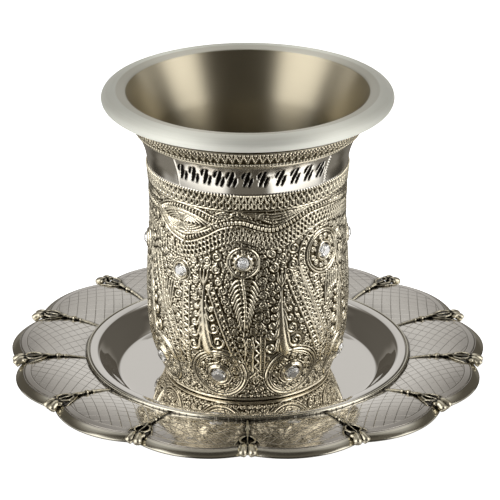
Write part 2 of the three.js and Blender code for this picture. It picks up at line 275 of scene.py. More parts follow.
SEAM_POLISH_AND_SHADE_WIDTHS = [(43.8, 0.8), (46, 1.0), (53, 1.3), (54.5, 1.8), (57, 3.2), (59.2, 3.9), (60.2, 3.2)]
NET_ALONG = 6
NET_ACROSS = 7
NET_BOW = 0.16
NICKEL = (0.80, 0.775, 0.735, 1)
FACE_PAINTED_LIGHT = (0.78, 0.75, 0.70, 1)
FACE_PAINTED_SHADE = (0.50, 0.47, 0.43, 1)
LIP_NICKEL = (0.62, 0.59, 0.50, 1)
CUT_NICKEL = (0.2, 0.185, 0.16, 1)
UNDERSIDE_PAINTED_SHADE = (0.2, 0.19, 0.155, 1)
SEAM_POLISH_AND_SHADE = (0.03, 0.025, 0.017, 1)


def read(items, attribute, width=1, kind=np.float32):
    """What all items of a mesh hold under a name, with a row for each item."""
    values = np.empty(len(items) * width, kind)
    items.foreach_get(attribute, values)
    return values.reshape(-1, width).squeeze()


def cast(name, places, loops, sizes, material, masks):
    """A smooth mesh from corners in metres, the corners' numbers face by face, and the faces' sizes.
    Masks hold a value for each corner, for the material's use."""
    mesh = bpy.data.meshes.new(name)
    mesh.vertices.add(len(places))
    mesh.vertices.foreach_set("co", places.astype(np.float32).reshape(-1))
    mesh.loops.add(len(loops))
    mesh.loops.foreach_set("vertex_index", loops.astype(np.int32))
    mesh.polygons.add(len(sizes))
    starts = np.concatenate([[0], np.cumsum(sizes)[:-1]])
    mesh.polygons.foreach_set("loop_start", starts.astype(np.int32))
    mesh.polygons.foreach_set("use_smooth", np.ones(len(sizes), bool))
    mesh.update(calc_edges=True)
    for mask, values in masks.items():
        layer = mesh.attributes.new(mask, "FLOAT", "POINT")
        layer.data.foreach_set("value", values.astype(np.float32))
    mesh.materials.append(material)
    return stand(name, mesh)


def skin(name, points, material, masks, closed, sharp=()):
    """A smooth closed mesh from rows of points, in millimetres. The columns go round the cup's axis.
    The rows close on themselves, or else the first and last rows are capped at their middles. Masks
    hold a value for each point or each row, and the rows named sharp are sharp edges."""
    rows, columns = points.shape[:2]
    places = points.reshape(-1, 3)
    index = np.arange(rows * columns).reshape(rows, columns)
    after = np.roll(index, -1, axis=1)
    quads = np.stack([index, np.roll(index, -1, axis=0), np.roll(after, -1, axis=0), after], -1)
    loops = (quads if closed else quads[:-1]).reshape(-1)
    sizes = np.full(len(loops) // 4, 4)
    if not closed:
        first_cap = np.stack([np.full(columns, len(places)), index[0], after[0]], -1)
        last_cap = np.stack([np.full(columns, len(places) + 1), after[-1], index[-1]], -1)
        places = np.concatenate([places, points[[0, -1]].mean(1)])
        loops = np.concatenate([loops, first_cap.reshape(-1), last_cap.reshape(-1)])
        sizes = np.concatenate([sizes, np.full(2 * columns, 3)])
    spread = {}
    for mask, values in masks.items():
        spread[mask] = np.zeros(len(places))
        spread[mask][: rows * columns] = np.broadcast_to(values, (rows, columns)).reshape(-1)
    piece = cast(name, places * MM, loops, sizes, material, spread)
    if len(sharp):
        ends = read(piece.data.edges, "vertices", 2, np.int32) // columns
        creased = (ends[:, 0] == ends[:, 1]) & np.isin(ends[:, 0], sharp)
        piece.data.attributes.new("sharp_edge", "BOOLEAN", "EDGE").data.foreach_set("value", creased)
    return piece


def turned(radii, azimuths, heights):
    """Points from radius, azimuth and height, in millimetres."""
    radii, azimuths, heights = np.broadcast_arrays(radii, azimuths, heights)
    return np.stack([radii * np.cos(azimuths), radii * np.sin(azimuths), heights], -1)


def arc(centre, reach, first, last, count):
    """Points of an oval arc, as radius and height, between two angles in degrees."""
    angles = np.radians(np.linspace(first, last, count))
    return np.stack([centre[0] + reach[0] * np.cos(angles), centre[1] + reach[1] * np.sin(angles)], -1)


def smooth_curve(knots, count=40):
    """Points along a smooth curve through the knots."""
    knots = np.array(knots, float)
    padded = np.concatenate([[2 * knots[0] - knots[1]], knots, [2 * knots[-1] - knots[-2]]])
    pieces = []
    t = np.linspace(0, 1, count, endpoint=False)[:, None]
    for a, b, c, d in zip(padded[:-3], padded[1:-2], padded[2:-1], padded[3:]):
        square = (2 * a - 5 * b + 4 * c - d) * t**2
        cube = (3 * b - a - 3 * c + d) * t**3
        pieces.append(0.5 * (2 * b + (c - a) * t + square + cube))
    return np.concatenate([*pieces, knots[-1:]])


def petal_edge(across):
    """The petal's edge, an arc through both notches and the tip, as a radius."""
    half = math.pi / PETALS
    sagitta = LOBE_RADIUS - NOTCH_RADIUS * math.cos(half)
    chord = NOTCH_RADIUS * math.sin(half)
    bend = (chord**2 + sagitta**2) / (2 * sagitta)
    centre = LOBE_RADIUS - bend
    angle = across * 2 * half
    return centre * np.cos(angle) + np.sqrt(bend**2 - (centre * np.sin(angle)) ** 2)


def valley_height(along):
    """Height of the seam between two petals, from the ring to the edge of their faces."""
    share = np.clip(along, 0, 1)
    return VALLEY_INNER + (VALLEY_OUTER - VALLEY_INNER) * share + VALLEY_ARCH * np.sin(np.pi * share)


def petal_height(along, across):
    """Height of a petal's face. It is domed between its seams, and less so at its ends."""
    crown = np.sin(np.pi * np.minimum(1, 0.12 + 0.88 * along))
    return valley_height(along) + PETAL_DOME * crown * np.cos(np.pi * across)


steps = np.arange(PETALS * PETAL_COLUMNS)
saucer_azimuths = FRONT + steps * 2 * math.pi / len(steps)
across = (steps % PETAL_COLUMNS) / PETAL_COLUMNS - 0.5
edge = petal_edge(across)
face_edge = edge - LIP_WIDTH
dish_rows = []


def add_row(radius, height):
    """A row of the dish that goes all round it."""
    dish_rows.append(turned(radius, saucer_azimuths, height))


def add_petal_row(radius, sunk=0.0):
    """A row of the petals' faces, or as far under them as it is sunk."""
    along = (radius - RING_RADIUS) / (face_edge - RING_RADIUS)
    add_row(radius, petal_height(along, across) - sunk)


flat = np.stack([np.linspace(4, WELL_RADIUS - 2, 6), np.full(6, SAUCER_WALL)], -1)
ring_roll = arc((43.3, RING_TOP - RING_ROLL), (RING_ROLL, RING_ROLL), 165, 0, ROLL_ROWS)
top_profile = np.concatenate([flat, smooth_curve(WELL_WALL, 3), RING_BEVEL, ring_roll, [(43.74, 6.2)]])
for radius, height in top_profile:
    add_row(radius, height)
for share in np.linspace(0, 1, 42)[:-1]:
    add_petal_row(RING_RADIUS + share * (face_edge - FINE_INSETS[0] - RING_RADIUS))
for inset in FINE_INSETS:
    groove = GROOVE_DEPTH * math.exp(-(((inset - STEP_INSET) / GROOVE_WIDTH) ** 2))
    step = STEP_DEPTH * min(1, max(0, (STEP_INSET - inset) / STEP_INSET))
    add_petal_row(face_edge - inset, step + groove)
face_rows = len(dish_rows)
turns = np.radians(np.linspace(36, 60, LIP_ROWS))
lip_out = (np.sin(turns) - math.sin(turns[0])) / (math.sin(turns[-1]) - math.sin(turns[0]))
lip_down = (math.cos(turns[0]) - np.cos(turns)) / (math.cos(turns[0]) - math.cos(turns[-1]))
for out, down in zip(lip_out, lip_down):
    height = VALLEY_OUTER - LIP_STEP - down * (LIP_DROP - LIP_STEP)
    add_row(face_edge + LIP_START + out * (LIP_WIDTH - LIP_START), height)
for inset, drop in LIP_INSIDE:
    add_row(edge - inset, VALLEY_OUTER - LIP_DROP - drop)
lip_rows = len(dish_rows)
for share in (0.97, 0.7, 0.45, 0.2, 0.0):
    add_petal_row(RING_RADIUS + share * (face_edge - RING_RADIUS), SAUCER_WALL)
for radius, height in UNDERSIDE + [(radius, TABLE) for radius in FOOT_RADII]:
    add_row(radius, height)
dish_points = np.stack(dish_rows)

radii = np.hypot(dish_points[..., 0], dish_points[..., 1])
row_number = np.arange(len(dish_points))[:, None]
ring_end = len(top_profile) - 1
roll_start = ring_end - ROLL_ROWS
on_petal = (radii > RING_RADIUS - 0.1) & (row_number < face_rows)
on_roll = (row_number >= roll_start) & (row_number <= ring_end)
on_lip = ((row_number >= face_rows) & (row_number < lip_rows)) | on_roll
beside_roll = np.isin(row_number, (roll_start - 1, ring_end, ring_end + 1))
between_ribs = across * 2 * math.pi / PETALS
to_rib = radii * np.sin(math.pi / PETALS - np.abs(between_ribs))
# Old polish and painted shade: a dark band along each rib's seam and beside the ring roll, where the ribs
# and the roll shade the dish.
seam_polish_and_shade = np.clip(2.2 - 2 * to_rib / np.interp(radii, *zip(*SEAM_POLISH_AND_SHADE_WIDTHS)), 0, 1) * on_petal
masks = {
    "along": (radii * np.cos(between_ribs) - RING_RADIUS) / (face_edge.max() - RING_RADIUS),
    "across": radii * np.sin(between_ribs) / (2 * NOTCH_RADIUS * math.sin(math.pi / PETALS)),
    "border": np.clip(face_edge - radii, 0, 30),
    "petal": on_petal,
    "lip": on_lip,
    "seam_polish_and_shade": np.maximum(seam_polish_and_shade, beside_roll * 0.9),
    "under": row_number >= face_rows + LIP_ROWS - 1,
}

nickel, start, shader = finish("polished_nickel", Metallic=1.0, Roughness=0.06)
along_link, across_link, border, petal, lip, seam_polish_and_shade_mask, under = (start.mask(name) for name in masks)
bow = across_link * across_link * NET_BOW


def lines(value, spread):
    """A line wherever the value passes a whole number."""
    away = start.math("ABSOLUTE", start.math("FRACT", value) - 0.5)
    return away.rise(0.5 - spread, 0.5)


slope = NET_ALONG * (along_link - bow)
net_a = lines(slope + NET_ACROSS * across_link + 0.5, 0.06)
net_b = lines(slope - NET_ACROSS * across_link + 0.5, 0.06)
net = start.math("MAXIMUM", net_a, net_b) * border.rise(2.2, 2.3)
border_line = border.rise(1.9, 2.1) * (1 - border.rise(2.1, 2.3))
edge_line = border.rise(0.2, 0.32) * (1 - border.rise(0.42, 0.54)) * 1.5
both_lines = start.math("MAXIMUM", border_line, edge_line)
cuts = start.math("MAXIMUM", net, both_lines) * petal
cloud = start.noise(60.0, 2.0)
vary(shader, Normal=start.bump(0.35, 0.0001, start.noise(900.0, 3.0) * 0.06 - cuts))
vary(shader, Roughness=0.03 + cloud.rise(0.35, 0.75) * 0.03 + petal * 0.05 + cuts * 0.25 + lip * 0.12)
# Painted reflection: the petals' faces are lighter near the ring and darker towards their edges.
face_colour = petal.blend(NICKEL, along_link.rise(0.05, 0.9).blend(FACE_PAINTED_LIGHT, FACE_PAINTED_SHADE))
top_colour = lip.blend(face_colour, LIP_NICKEL)
cut_colour = (cuts * 0.6).blend(top_colour, CUT_NICKEL)
# Painted shade: the rows under the lip's lowest row take a dark colour, for the shade under the dish.
vary(shader, Base_Color=seam_polish_and_shade_mask.blend(under.blend(cut_colour, UNDERSIDE_PAINTED_SHADE), SEAM_POLISH_AND_SHADE))

dish = skin("saucer_dish", dish_points, nickel, masks, closed=False)
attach(dish, "root")
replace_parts(dish, "saucer")

# ---- Cup liner ----
# A spun steel beaker with a satin finish, brushed round its axis. Its rim is rolled outwards, is
# matt and pale, and has painted shade along its inner edge: a darker, less matt band. The beaker stands in
# the shell.
LINER_COLUMNS = 160
CUP_HEIGHT = 80
RIM_RADIUS = 35.5
RIM_REACH = (2.95, 2.15)
RELIEF = 0.45
SHELL_WALL = 0.9
LINER_OUTSIDE = SHELL_WALL + 0.3
LINER_INSIDE = LINER_OUTSIDE + 0.8
FLARE_START = 64
OUTLINE = [
    (0, 22.2), (2.8, 23.2), (6.6, 24.7), (11.6, 26.3), (19.8, 27.05), (30.5, 26.95), (41.9, 26.4),
    (53.2, 26.35), (62, 27.2), (66, 28.25), (69.6, 29.85), (73, 32.3), (75.2, 34.5), (80, 38),
]
FLARE = [(25.95, 67), (27.25, 70), (28.7, 73), (30.25, 76), (31.35, 78.1), (31.85, 79.0)]
RIM_EDGE = [(31.95, 79.3), (32.12, 79.48), (32.4, 79.58), (33.0, 79.72)]
EDGE_SHADE_ROWS = 4
EDGE_SHADE_MATTE = 0.62
DARK_STEEL = (0.40, 0.36, 0.27, 1)
BRIGHT_STEEL = (0.49, 0.445, 0.34, 1)
MATT_STEEL = (0.84, 0.85, 0.79, 1)
outline_curve = smooth_curve(OUTLINE)


def ground(height):
    """Radius of the shell's ground, under its relief."""
    return np.interp(height, outline_curve[:, 0], outline_curve[:, 1]) - RELIEF


def along_wall(first, last, count, depth):
    """A profile that runs at a depth inside the shell's ground, as radius and height."""
    heights = np.linspace(first, last, count)
    return np.stack([ground(heights) - depth, heights], -1)


bottom = [(2, LINER_INSIDE), (16, LINER_INSIDE), (18.6, 2.15), (19.9, 2.6), (20.75, 3.3)]
inside = along_wall(4.2, FLARE_START, 27, LINER_INSIDE)
mouth = smooth_curve([inside[-1], *FLARE], 3)[1:]
roll = arc((RIM_RADIUS, CUP_HEIGHT - RIM_REACH[1]), RIM_REACH, 112, -122, 30)
outside = along_wall(74.4, 1.6, 24, LINER_OUTSIDE)
base = [(19.8, 1.25), (16, 1.2), (2, 1.2)]
liner_profile = np.concatenate([bottom, inside, mouth, RIM_EDGE, roll, outside, base])
liner_azimuths = FRONT + np.arange(LINER_COLUMNS) * 2 * math.pi / LINER_COLUMNS
liner_rows = [turned(radius, liner_azimuths, CUP_BASE + height) for radius, height in liner_profile]
rolled = np.zeros((len(liner_profile), 1))
first_rolled = len(bottom) + len(inside) + len(mouth) + 1
rolled[first_rolled : -len(base)] = 1
# Painted shade: the first rows of the roll are less matt, so they are darker, to show the roll turning
# inwards.
rolled[first_rolled : first_rolled + EDGE_SHADE_ROWS] = EDGE_SHADE_MATTE

brushing = {"Anisotropic": 0.75, "Anisotropic_Rotation": 0.25}
satin, start, shader = finish("satin_steel", Metallic=1.0, Roughness=0.33, **brushing)
place = start.node("TexCoord", output="Object")
brushed = start.node("Mapping", None, {"Vector": place, "Scale": (40.0, 40.0, 5000.0)})
hair = start.noise(1.0, 4.0, brushed)
cloud = start.noise(70.0, 2.0)
matte = start.mask("matte")
streaked = matte * (0.82 + hair * 0.3)
vary(shader, Base_Color=streaked.blend(cloud.blend(DARK_STEEL, BRIGHT_STEEL), MATT_STEEL))
vary(shader, Roughness=0.3 + cloud * 0.08 + hair * 0.06 + matte * 0.3)
vary(shader, Metallic=1 - matte * 0.3)
vary(shader, Normal=start.bump(0.25, 0.00005, hair))

liner = skin("cup_liner_spun", np.stack(liner_rows), satin, {"matte": rolled}, closed=False)
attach(liner, "root")
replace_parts(liner, "cup_liner")

# ---- Cup shell, carved part ----
# A thin cast skin of silver whose relief copies filigree: wires, beads and scrolls side by side. It
# is blackened all over and rubbed back, so the ground stays dark and the wires shine. The pattern
# repeats after half a turn. Four rings, one on another, make its mesh.
HALF_TURN_COLUMNS = 400
CARVED_TOP = 60.2
CARVED_ROWS = 302
DEGREE = math.pi / 180
STONE_GAP = 0.3
PIT_DEPTH = 0.37
REPEAT = 45
LOWER_STONES = [(-17.5 + REPEAT * k, 8.6, 1.9) for k in range(8)]
HALF_UPPER = [(-41, 36.7, 1.6), (-2.5, 41.2, 1.5), (49, 41.2, 1.8), (94, 38.5, 1.6)]
UPPER_STONES = HALF_UPPER + [(angle + 180, height, radius) for angle, height, radius in HALF_UPPER]
HUMP = 0.38
WIRE_PITCH = 0.08
SHAPE_STEP = 0.07
LOOK = 0.15
BATCH = 20000
BLACKENED = (0.052, 0.038, 0.016, 1)
DULL_SILVER = (0.90, 0.82, 0.63, 1)
BRIGHT_SILVER = (0.98, 0.92, 0.76, 1)
SEAT_SILVER = (0.95, 0.95, 0.95, 1)


def dense(corners, closed=False):
    """Points at an even step along a line through the corners, in millimetres."""
    corners = np.array(corners, float)
    if closed:
        corners = np.concatenate([corners, corners[:1]])
    travel = np.concatenate([[0], np.cumsum(np.hypot(*np.diff(corners, axis=0).T))])
    stops = np.linspace(0, travel[-1], max(2, int(travel[-1] / SHAPE_STEP) + 1))
    return np.stack([np.interp(stops, travel, corners[:, k]) for k in (0, 1)], -1)


def circle(radius, first=0.0, last=360.0):
    angles = np.radians(np.linspace(first, last, 40))
    return dense(np.stack([radius * np.cos(angles), radius * np.sin(angles)], -1))


def curl(radius, turns, first, hand):
    """A spiral that starts at its rim and winds inwards."""
    share = np.linspace(0, 1, 60)
    angles = np.radians(first) + hand * share * turns * 2 * math.pi
    reach = radius * (1 - 0.86 * share)
    return dense(np.stack([reach * np.cos(angles), reach * np.sin(angles)], -1))


def almond(half_length, half_height, power=1.0):
    """A leaf outline, pointed at both ends."""
    share = np.linspace(-1, 1, 41)
    rise = half_height * np.maximum(0, 1 - share**2) ** power
    upper = np.stack([share * half_length, rise], -1)
    return dense(np.concatenate([upper, upper[::-1] * (1, -1)]))


def loop(width, depth):
    """A stitch like the letter U, open at the top."""
    angles = np.radians(np.linspace(180, 360, 24))
    bend = np.stack([width / 2 * np.cos(angles), depth * 0.55 * (np.sin(angles) + 0.1)], -1)
    return dense(np.concatenate([[(-width / 2, depth / 2)], bend, [(width / 2, depth / 2)]]))


def off(centre, reach, heading):
    """The place at a distance in millimetres and a heading in degrees from another place."""
    scale = ground(centre[1]) * DEGREE
    turn = heading * DEGREE
    return centre[0] + reach * math.cos(turn) / scale, centre[1] + reach * math.sin(turn)


class Filigree:
    """Heights of the relief over the shell's ground, on a grid of angle and height. The grid goes
    round a part of a turn and repeats. Places are in degrees and millimetres. The slope says how
    much longer the wall is than it is high."""

    def __init__(self, turn, columns, low, high, rows, slope=1.0):
        self.turn = turn
        self.low = low
        self.slope = slope
        self.angle_step = turn / columns
        self.height_step = (high - low) / (rows - 1)
        self.level = np.zeros((rows, columns))
        self.bare = np.ones((rows, columns), bool)
        self.chance = np.random.default_rng(13)

    def window(self, spots, half):
        """Cells within reach of each spot, and how far each lies from it, in half widths."""
        scale = ground(spots[:, 1:2]) * DEGREE
        reach_round = int(half.max() / (self.angle_step * scale.min())) + 1
        reach_up = int(half.max() / (self.height_step * self.slope)) + 1
        cells_round = np.arange(-reach_round, reach_round + 1)
        round_by, up_by = np.meshgrid(cells_round, np.arange(-reach_up, reach_up + 1))
        columns = np.rint(spots[:, :1] / self.angle_step) + round_by.reshape(1, -1)
        rows = np.rint((spots[:, 1:2] - self.low) / self.height_step) + up_by.reshape(1, -1)
        x = (columns * self.angle_step - spots[:, :1]) * scale
        y = (rows * self.height_step + self.low - spots[:, 1:2]) * self.slope
        away = np.hypot(x, y) / half[:, None]
        use = (away < 1) & (rows >= 0) & (rows < len(self.level))
        return rows.astype(int), columns.astype(int) % self.level.shape[1], away, use

    def cells(self, spot, radius):
        """Rows and columns of the cells that lie in a round place."""
        rows, columns, _, use = self.window(np.array([spot], float), np.array([radius]))
        return rows[use], columns[use]

    def stamp(self, spots, half, peak):
        """Raise a round hump at each place."""
        spots = np.array(spots, float)
        half = np.broadcast_to(np.asarray(half, float), len(spots))
        peak = np.broadcast_to(np.asarray(peak, float), len(spots))
        for first in range(0, len(spots), BATCH):
            part = slice(first, first + BATCH)
            rows, columns, away, use = self.window(spots[part], half[part])
            rise = peak[part][:, None] * np.clip(1 - away**2, 0, 1) ** HUMP
            np.maximum.at(self.level, (rows[use], columns[use]), rise[use])

    def keep(self, spot, radius):
        """Leave a round place bare of filling."""
        self.bare[self.cells(spot, radius)] = False

    def walk(self, knots, step):
        """Places and directions at an even step along a smooth curve through the knots."""
        curve = smooth_curve(knots, 30)
        scale = ground(curve[:, 1]) * DEGREE
        run = np.diff(curve, axis=0) * np.stack([scale[1:], np.full(len(scale) - 1, self.slope)], -1)
        travel = np.concatenate([[0], np.cumsum(np.hypot(*run.T))])
        stops = np.arange(0, travel[-1], step)
        behind, places, ahead = (
            np.stack([np.interp(stops + by, travel, curve[:, k]) for k in (0, 1)], -1)
            for by in (-LOOK, 0, LOOK)
        )
        scale = ground(places[:, 1]) * DEGREE
        course = (ahead - behind) * np.stack([scale, np.full(len(places), self.slope)], -1)
        return places, course / np.hypot(*course.T)[:, None]

    def beside(self, places, course, along, aside):
        """The places, moved along and to the left of their course."""
        scale = ground(places[:, 1]) * DEGREE
        x = along * course[:, 0] - aside * course[:, 1]
        y = along * course[:, 1] + aside * course[:, 0]
        return np.stack([places[:, 0] + x / scale, places[:, 1] + y / self.slope], -1)

    def put(self, shape, centre, half, peak, tilt=0.0):
        """Lay a little shape, in millimetres, at a place."""
        tilt = tilt * DEGREE
        x = shape[:, 0] * math.cos(tilt) - shape[:, 1] * math.sin(tilt)
        y = shape[:, 0] * math.sin(tilt) + shape[:, 1] * math.cos(tilt)
        scale = ground(centre[1]) * DEGREE
        self.stamp(np.stack([centre[0] + x / scale, centre[1] + y / self.slope], -1), half, peak)

    def rings(self, centre, sizes):
        """Rings about a place, each with its radius, half width and height."""
        for radius, half, peak in sizes:
            self.put(circle(radius), centre, half, peak)

    def wire(self, knots, half, peak, shift=0.0):
        """A wire along a smooth curve. Several half widths taper it. Shift sets it to its left."""
        places, course = self.walk(knots, WIRE_PITCH)
        half = np.atleast_1d(half)
        shares = np.linspace(0, 1, len(places))
        widths = np.interp(shares, np.linspace(0, 1, len(half)), half)
        self.stamp(self.beside(places, course, 0, shift), widths, peak)

    def line_of(self, shape, knots, pitch, half, peak, shift=0.0, start=0.0):
        """The same little shape again and again along a curve."""
        places, course = self.walk(knots, pitch)
        for along, aside in shape:
            self.stamp(self.beside(places, course, along + start, aside + shift), half, peak)

    def fill(self, radius, tries, low, high, half, peak):
        """Lay small curls wherever a round place of this radius is still bare."""
        for angle, height, first in self.chance.uniform((0, low, 0), (self.turn, high, 360), (tries, 3)):
            cells = self.cells((angle, height), radius + 0.12)
            if self.bare[cells].all() and self.level[cells].max() < 0.12:
                hand = 1 if first > 180 else -1
                self.put(curl(radius, 1.2 + 0.5 * (radius > 0.9), first, hand), (angle, height), half, peak)

    def grains(self, radius, tries, low, high, peak):
        """Set grains in the last bare places."""
        for spot in self.chance.uniform((0, low), (self.turn, high), (tries, 2)):
            cells = self.cells(spot, radius + 0.05)
            if self.bare[cells].all() and self.level[cells].max() < 0.1:
                self.stamp([spot], radius, peak)


carving = Filigree(180, HALF_TURN_COLUMNS, 0, CARVED_TOP, CARVED_ROWS)
DOT = [(0, 0)]
TRIANGLE = dense([(-0.75, -0.65), (0.75, -0.65), (0, 0.75)], closed=True)
SMALL_TRIANGLE = dense([(-0.55, -0.5), (0.55, -0.5), (0, 0.55)], closed=True)
TILE = dense([(-0.75, -0.6), (0.7, -0.8), (0.75, 0.8), (-0.7, 0.6)], closed=True)
RINGLET = circle(0.62)
DIAMOND = dense([(-1.7, 0), (0, 2.1), (1.7, 0), (0, -2.1)], closed=True)
STITCH = loop(0.95, 1.15)

# Foot: a row of small half rosettes between two wires.
FOOT_ROW = [(0, 1.1), (90, 1.1), (180, 1.1)]
carving.wire([(-10, 0.35), (90, 0.35), (190, 0.35)], 0.35, 0.5)
carving.line_of(circle(0.75, 0, 180), FOOT_ROW, 1.9, 0.17, 0.4)
carving.line_of([(0, 0.25)], FOOT_ROW, 1.9, 0.25, 0.4)

# Lower medallions: six rings round the bezel, and small curls between them.
LOWER_RINGS = [
    (7.9, 0.14, 0.3), (7.1, 0.33, 0.5), (6.3, 0.2, 0.42),
    (5.75, 0.15, 0.36), (3.55, 0.17, 0.4), (2.95, 0.2, 0.55),
]
for *spot, _ in LOWER_STONES[:4]:
    carving.rings(spot, LOWER_RINGS)
    for k in range(13):
        heading = k * 360 / 13 + 12
        hand = 1 if k % 2 else -1
        carving.put(curl(0.95, 1.5, heading + 180, hand), off(spot, 4.65, heading), 0.17, 0.42)

# Trees: a bright tapering stem between each two medallions' tops, with a wire on each side and
# scrolls to both sides, and a three-pointed bud at its head.
STEM = [(0, 34.5), (-0.4, 29), (0, 24), (1, 18.5), (2.4, 15.6)]
RIGHT_WIRE = [(1.4, 31), (1.6, 26), (2.4, 21.5), (4.5, 17)]
LEFT_WIRE = [(-1.6, 30), (-1.9, 25), (-2.2, 20), (-2.2, 15.8)]
RIGHT_SCROLLS = [(4.5, 27.8, 0.8), (5, 25.3, 1.0), (6.2, 22.3, 1.55), (8.6, 18.4, 2.0)]
LEFT_SCROLLS = [
    (-4.4, 28.0, 0.75), (-4.6, 25.8, 0.85), (-5.4, 23.4, 1.05), (-6, 20.4, 1.25), (-6.2, 16.9, 1.55),
]


def moved(knots, angle):
    """The same knots, further round the cup."""
    return [(angle + aside, height) for aside, height in knots]


for k in range(4):
    stem = -25.5 + REPEAT * k
    carving.wire(moved(STEM, stem), (0.16, 0.38, 0.7, 1.05, 1.35), 0.5)
    for knots in (RIGHT_WIRE, LEFT_WIRE):
        carving.wire(moved(knots, stem), (0.14, 0.2, 0.24, 0.3), 0.4)
    for hand, scrolls in ((1, RIGHT_SCROLLS), (-1, LEFT_SCROLLS)):
        for aside, height, radius in scrolls:
            spot = (stem + aside, height)
            scroll = curl(radius, 1.5, 175 if hand > 0 else 5, hand)
            carving.put(scroll, spot, np.linspace(0.36, 0.17, len(scroll)) * (0.7 + 0.28 * radius), 0.5)
            carving.stamp([spot], 0.3, 0.42)
            inner = aside - hand * radius / (ground(height) * DEGREE)
            stalk = [(inner, height), (inner * 0.72, height + radius * 1.3)]
            stalk.append((inner * 0.3, height + radius * 2.6))
            carving.wire(moved(stalk, stem), (0.14 + 0.22 * radius, 0.12 + 0.2 * radius, 0.15), 0.48)
            carving.keep(spot, radius + 0.35)
    for lean in (-1, 0, 1):
        bud = [(0, 34.3), (lean * 1.9, 36.2), (lean * 2.3, 38.4)]
        carving.wire(moved(bud, stem), (0.28, 0.42, 0.12), 0.46)
    for hand in (-1, 1):
        carving.put(curl(0.75, 1.3, 90, hand), (stem + hand * 2.6, 33.4), 0.17, 0.42)
    carving.keep((stem + 7.5, 16.0), 1.7)
    carving.keep((stem - 4.5, 14.5), 1.2)

# Between the trees: crimped bands that lean to the right, each a row of triangles, tiles or rings
# between two wires, and an upright zigzag with a star under it and leaves at its head.
CRIMPED_BANDS = [
    ([(-37, 33.5), (-37.3, 24), (-37.5, 14)], TRIANGLE, 1.7, 1.0),
    ([(-21.5, 33.5), (-17.5, 28.5), (-13, 22.5), (-8.5, 17), (-4, 12.2)], TRIANGLE, 1.6, 0.95),
    ([(23.5, 38), (28, 32), (34, 25.5), (40, 19), (43.5, 15)], TILE, 1.75, 0.95),
    ([(28, 38.5), (32, 33), (38, 26.5), (43.5, 20.5), (48, 15.5)], RINGLET, 1.75, 0.95),
    ([(32, 38.5), (36, 34), (42, 27.5), (47, 22), (51, 17.5)], SMALL_TRIANGLE, 1.2, 0.7),
    ([(68, 33.5), (72, 28.5), (77, 22.5), (81.5, 17), (86, 12.2)], TRIANGLE, 1.6, 0.95),
    ([(113.5, 38), (118, 32), (124, 25.5), (130, 19), (133.5, 15)], TILE, 1.75, 0.95),
    ([(118, 38.5), (122, 33), (128, 26.5), (133.5, 20.5), (137, 16)], RINGLET, 1.75, 0.95),
]
for course, shape, pitch, width in CRIMPED_BANDS:
    carving.line_of(shape, course, pitch, 0.16, 0.4)
    carving.line_of(DOT, course, pitch, 0.26, 0.34)
    for hand in (-1, 1):
        carving.wire(course, 0.17, 0.42, shift=hand * width)

for middle in (5.2, 50.2, 95.2, 140.2):
    scale = ground(14) * DEGREE
    sides = enumerate(np.arange(8.8, 20, 1.35))
    zigzag = [((1.25 if k % 2 else -1.25) * scale, height - 14) for k, height in sides]
    carving.put(dense(zigzag), (middle, 14), 0.2, 0.44)
    for aside in (-2.3, 2.3, 4.4):
        carving.wire(moved([(aside, 9.5), (aside, 15), (aside, 20.5)], middle), 0.15, 0.38)
    carving.line_of(DOT, moved([(3.3, 9.5), (3.3, 20.5)], middle), 0.75, 0.26, 0.34)
    star = (middle - 0.2, 7.6)
    for k in range(4):
        carving.put(dense([(-1.15, 0), (1.15, 0)]), star, 0.17, 0.42, tilt=45 * k + 10)
    carving.stamp([star], 0.35, 0.5)
    carving.put(DIAMOND, star, 0.16, 0.38)
    carving.put(almond(1.7, 0.75), (middle - 3.6, 18.4), 0.2, 0.42, tilt=112)
    carving.put(almond(0.9, 0.35), (middle - 3.6, 18.4), 0.16, 0.36, tilt=112)
    carving.put(almond(1.3, 0.6), (middle + 6.8, 20.8), 0.18, 0.4, tilt=70)

# The plume under each middle stone: a palm leaf that hangs down, with bent veins on both sides.
VEINS = 10
for middle, top in ((-2.5, 36.8), (87.5, 35.8)):
    spine = moved([(-0.6, top), (0.8, top - 5), (1.2, top - 10), (0.4, top - 16.5)], middle)
    carving.wire(spine, (0.42, 0.34, 0.26, 0.14), 0.5)
    for side in (-1, 1):
        for k in range(VEINS):
            reach = side * 8.4 * (1 - k / (VEINS + 1)) ** 0.8
            root = top - 0.4 - 1.25 * k
            vein = [(0.6, root), (0.6 + reach * 0.6, root - 0.5), (0.6 + reach, root - 3.2)]
            carving.wire(moved(vein, middle), (0.2, 0.3, 0.12), 0.46)
    tail = [(0.4, top - 17), (1.4, top - 20), (1, top - 23)]
    carving.wire(moved(tail, middle), (0.26, 0.22, 0.15), 0.4)

# Upper medallions and bezels.
left_stone, middle_stone, wide_stone, back_stone = (stone[:2] for stone in HALF_UPPER)
for spot in (middle_stone, back_stone):
    carving.rings(spot, [(4.15, 0.26, 0.5), (3.5, 0.16, 0.4), (2.35, 0.2, 0.5)])
    for k in range(12):
        carving.put(circle(0.34), off(spot, 2.93, k * 30), 0.17, 0.4)
    carving.keep(spot, 4.4)
carving.rings(wide_stone, [(5.95, 0.3, 0.5), (5.2, 0.17, 0.4), (2.75, 0.2, 0.5)])
carving.put(circle(8.35, 75, 215), wide_stone, 0.22, 0.44)
carving.put(circle(6.75, 75, 215), wide_stone, 0.17, 0.4)
for k in range(12):
    hand = 1 if k % 2 else -1
    carving.put(curl(0.8, 1.4, k * 30 + 180, hand), off(wide_stone, 3.95, k * 30 + 15), 0.16, 0.42)
for k in range(10):
    heading = 80 + k * 14
    tilt = heading + (90 if k % 2 else -90)
    carving.put(SMALL_TRIANGLE, off(wide_stone, 7.55, heading), 0.15, 0.4, tilt=tilt)
carving.keep(wide_stone, 6.2)
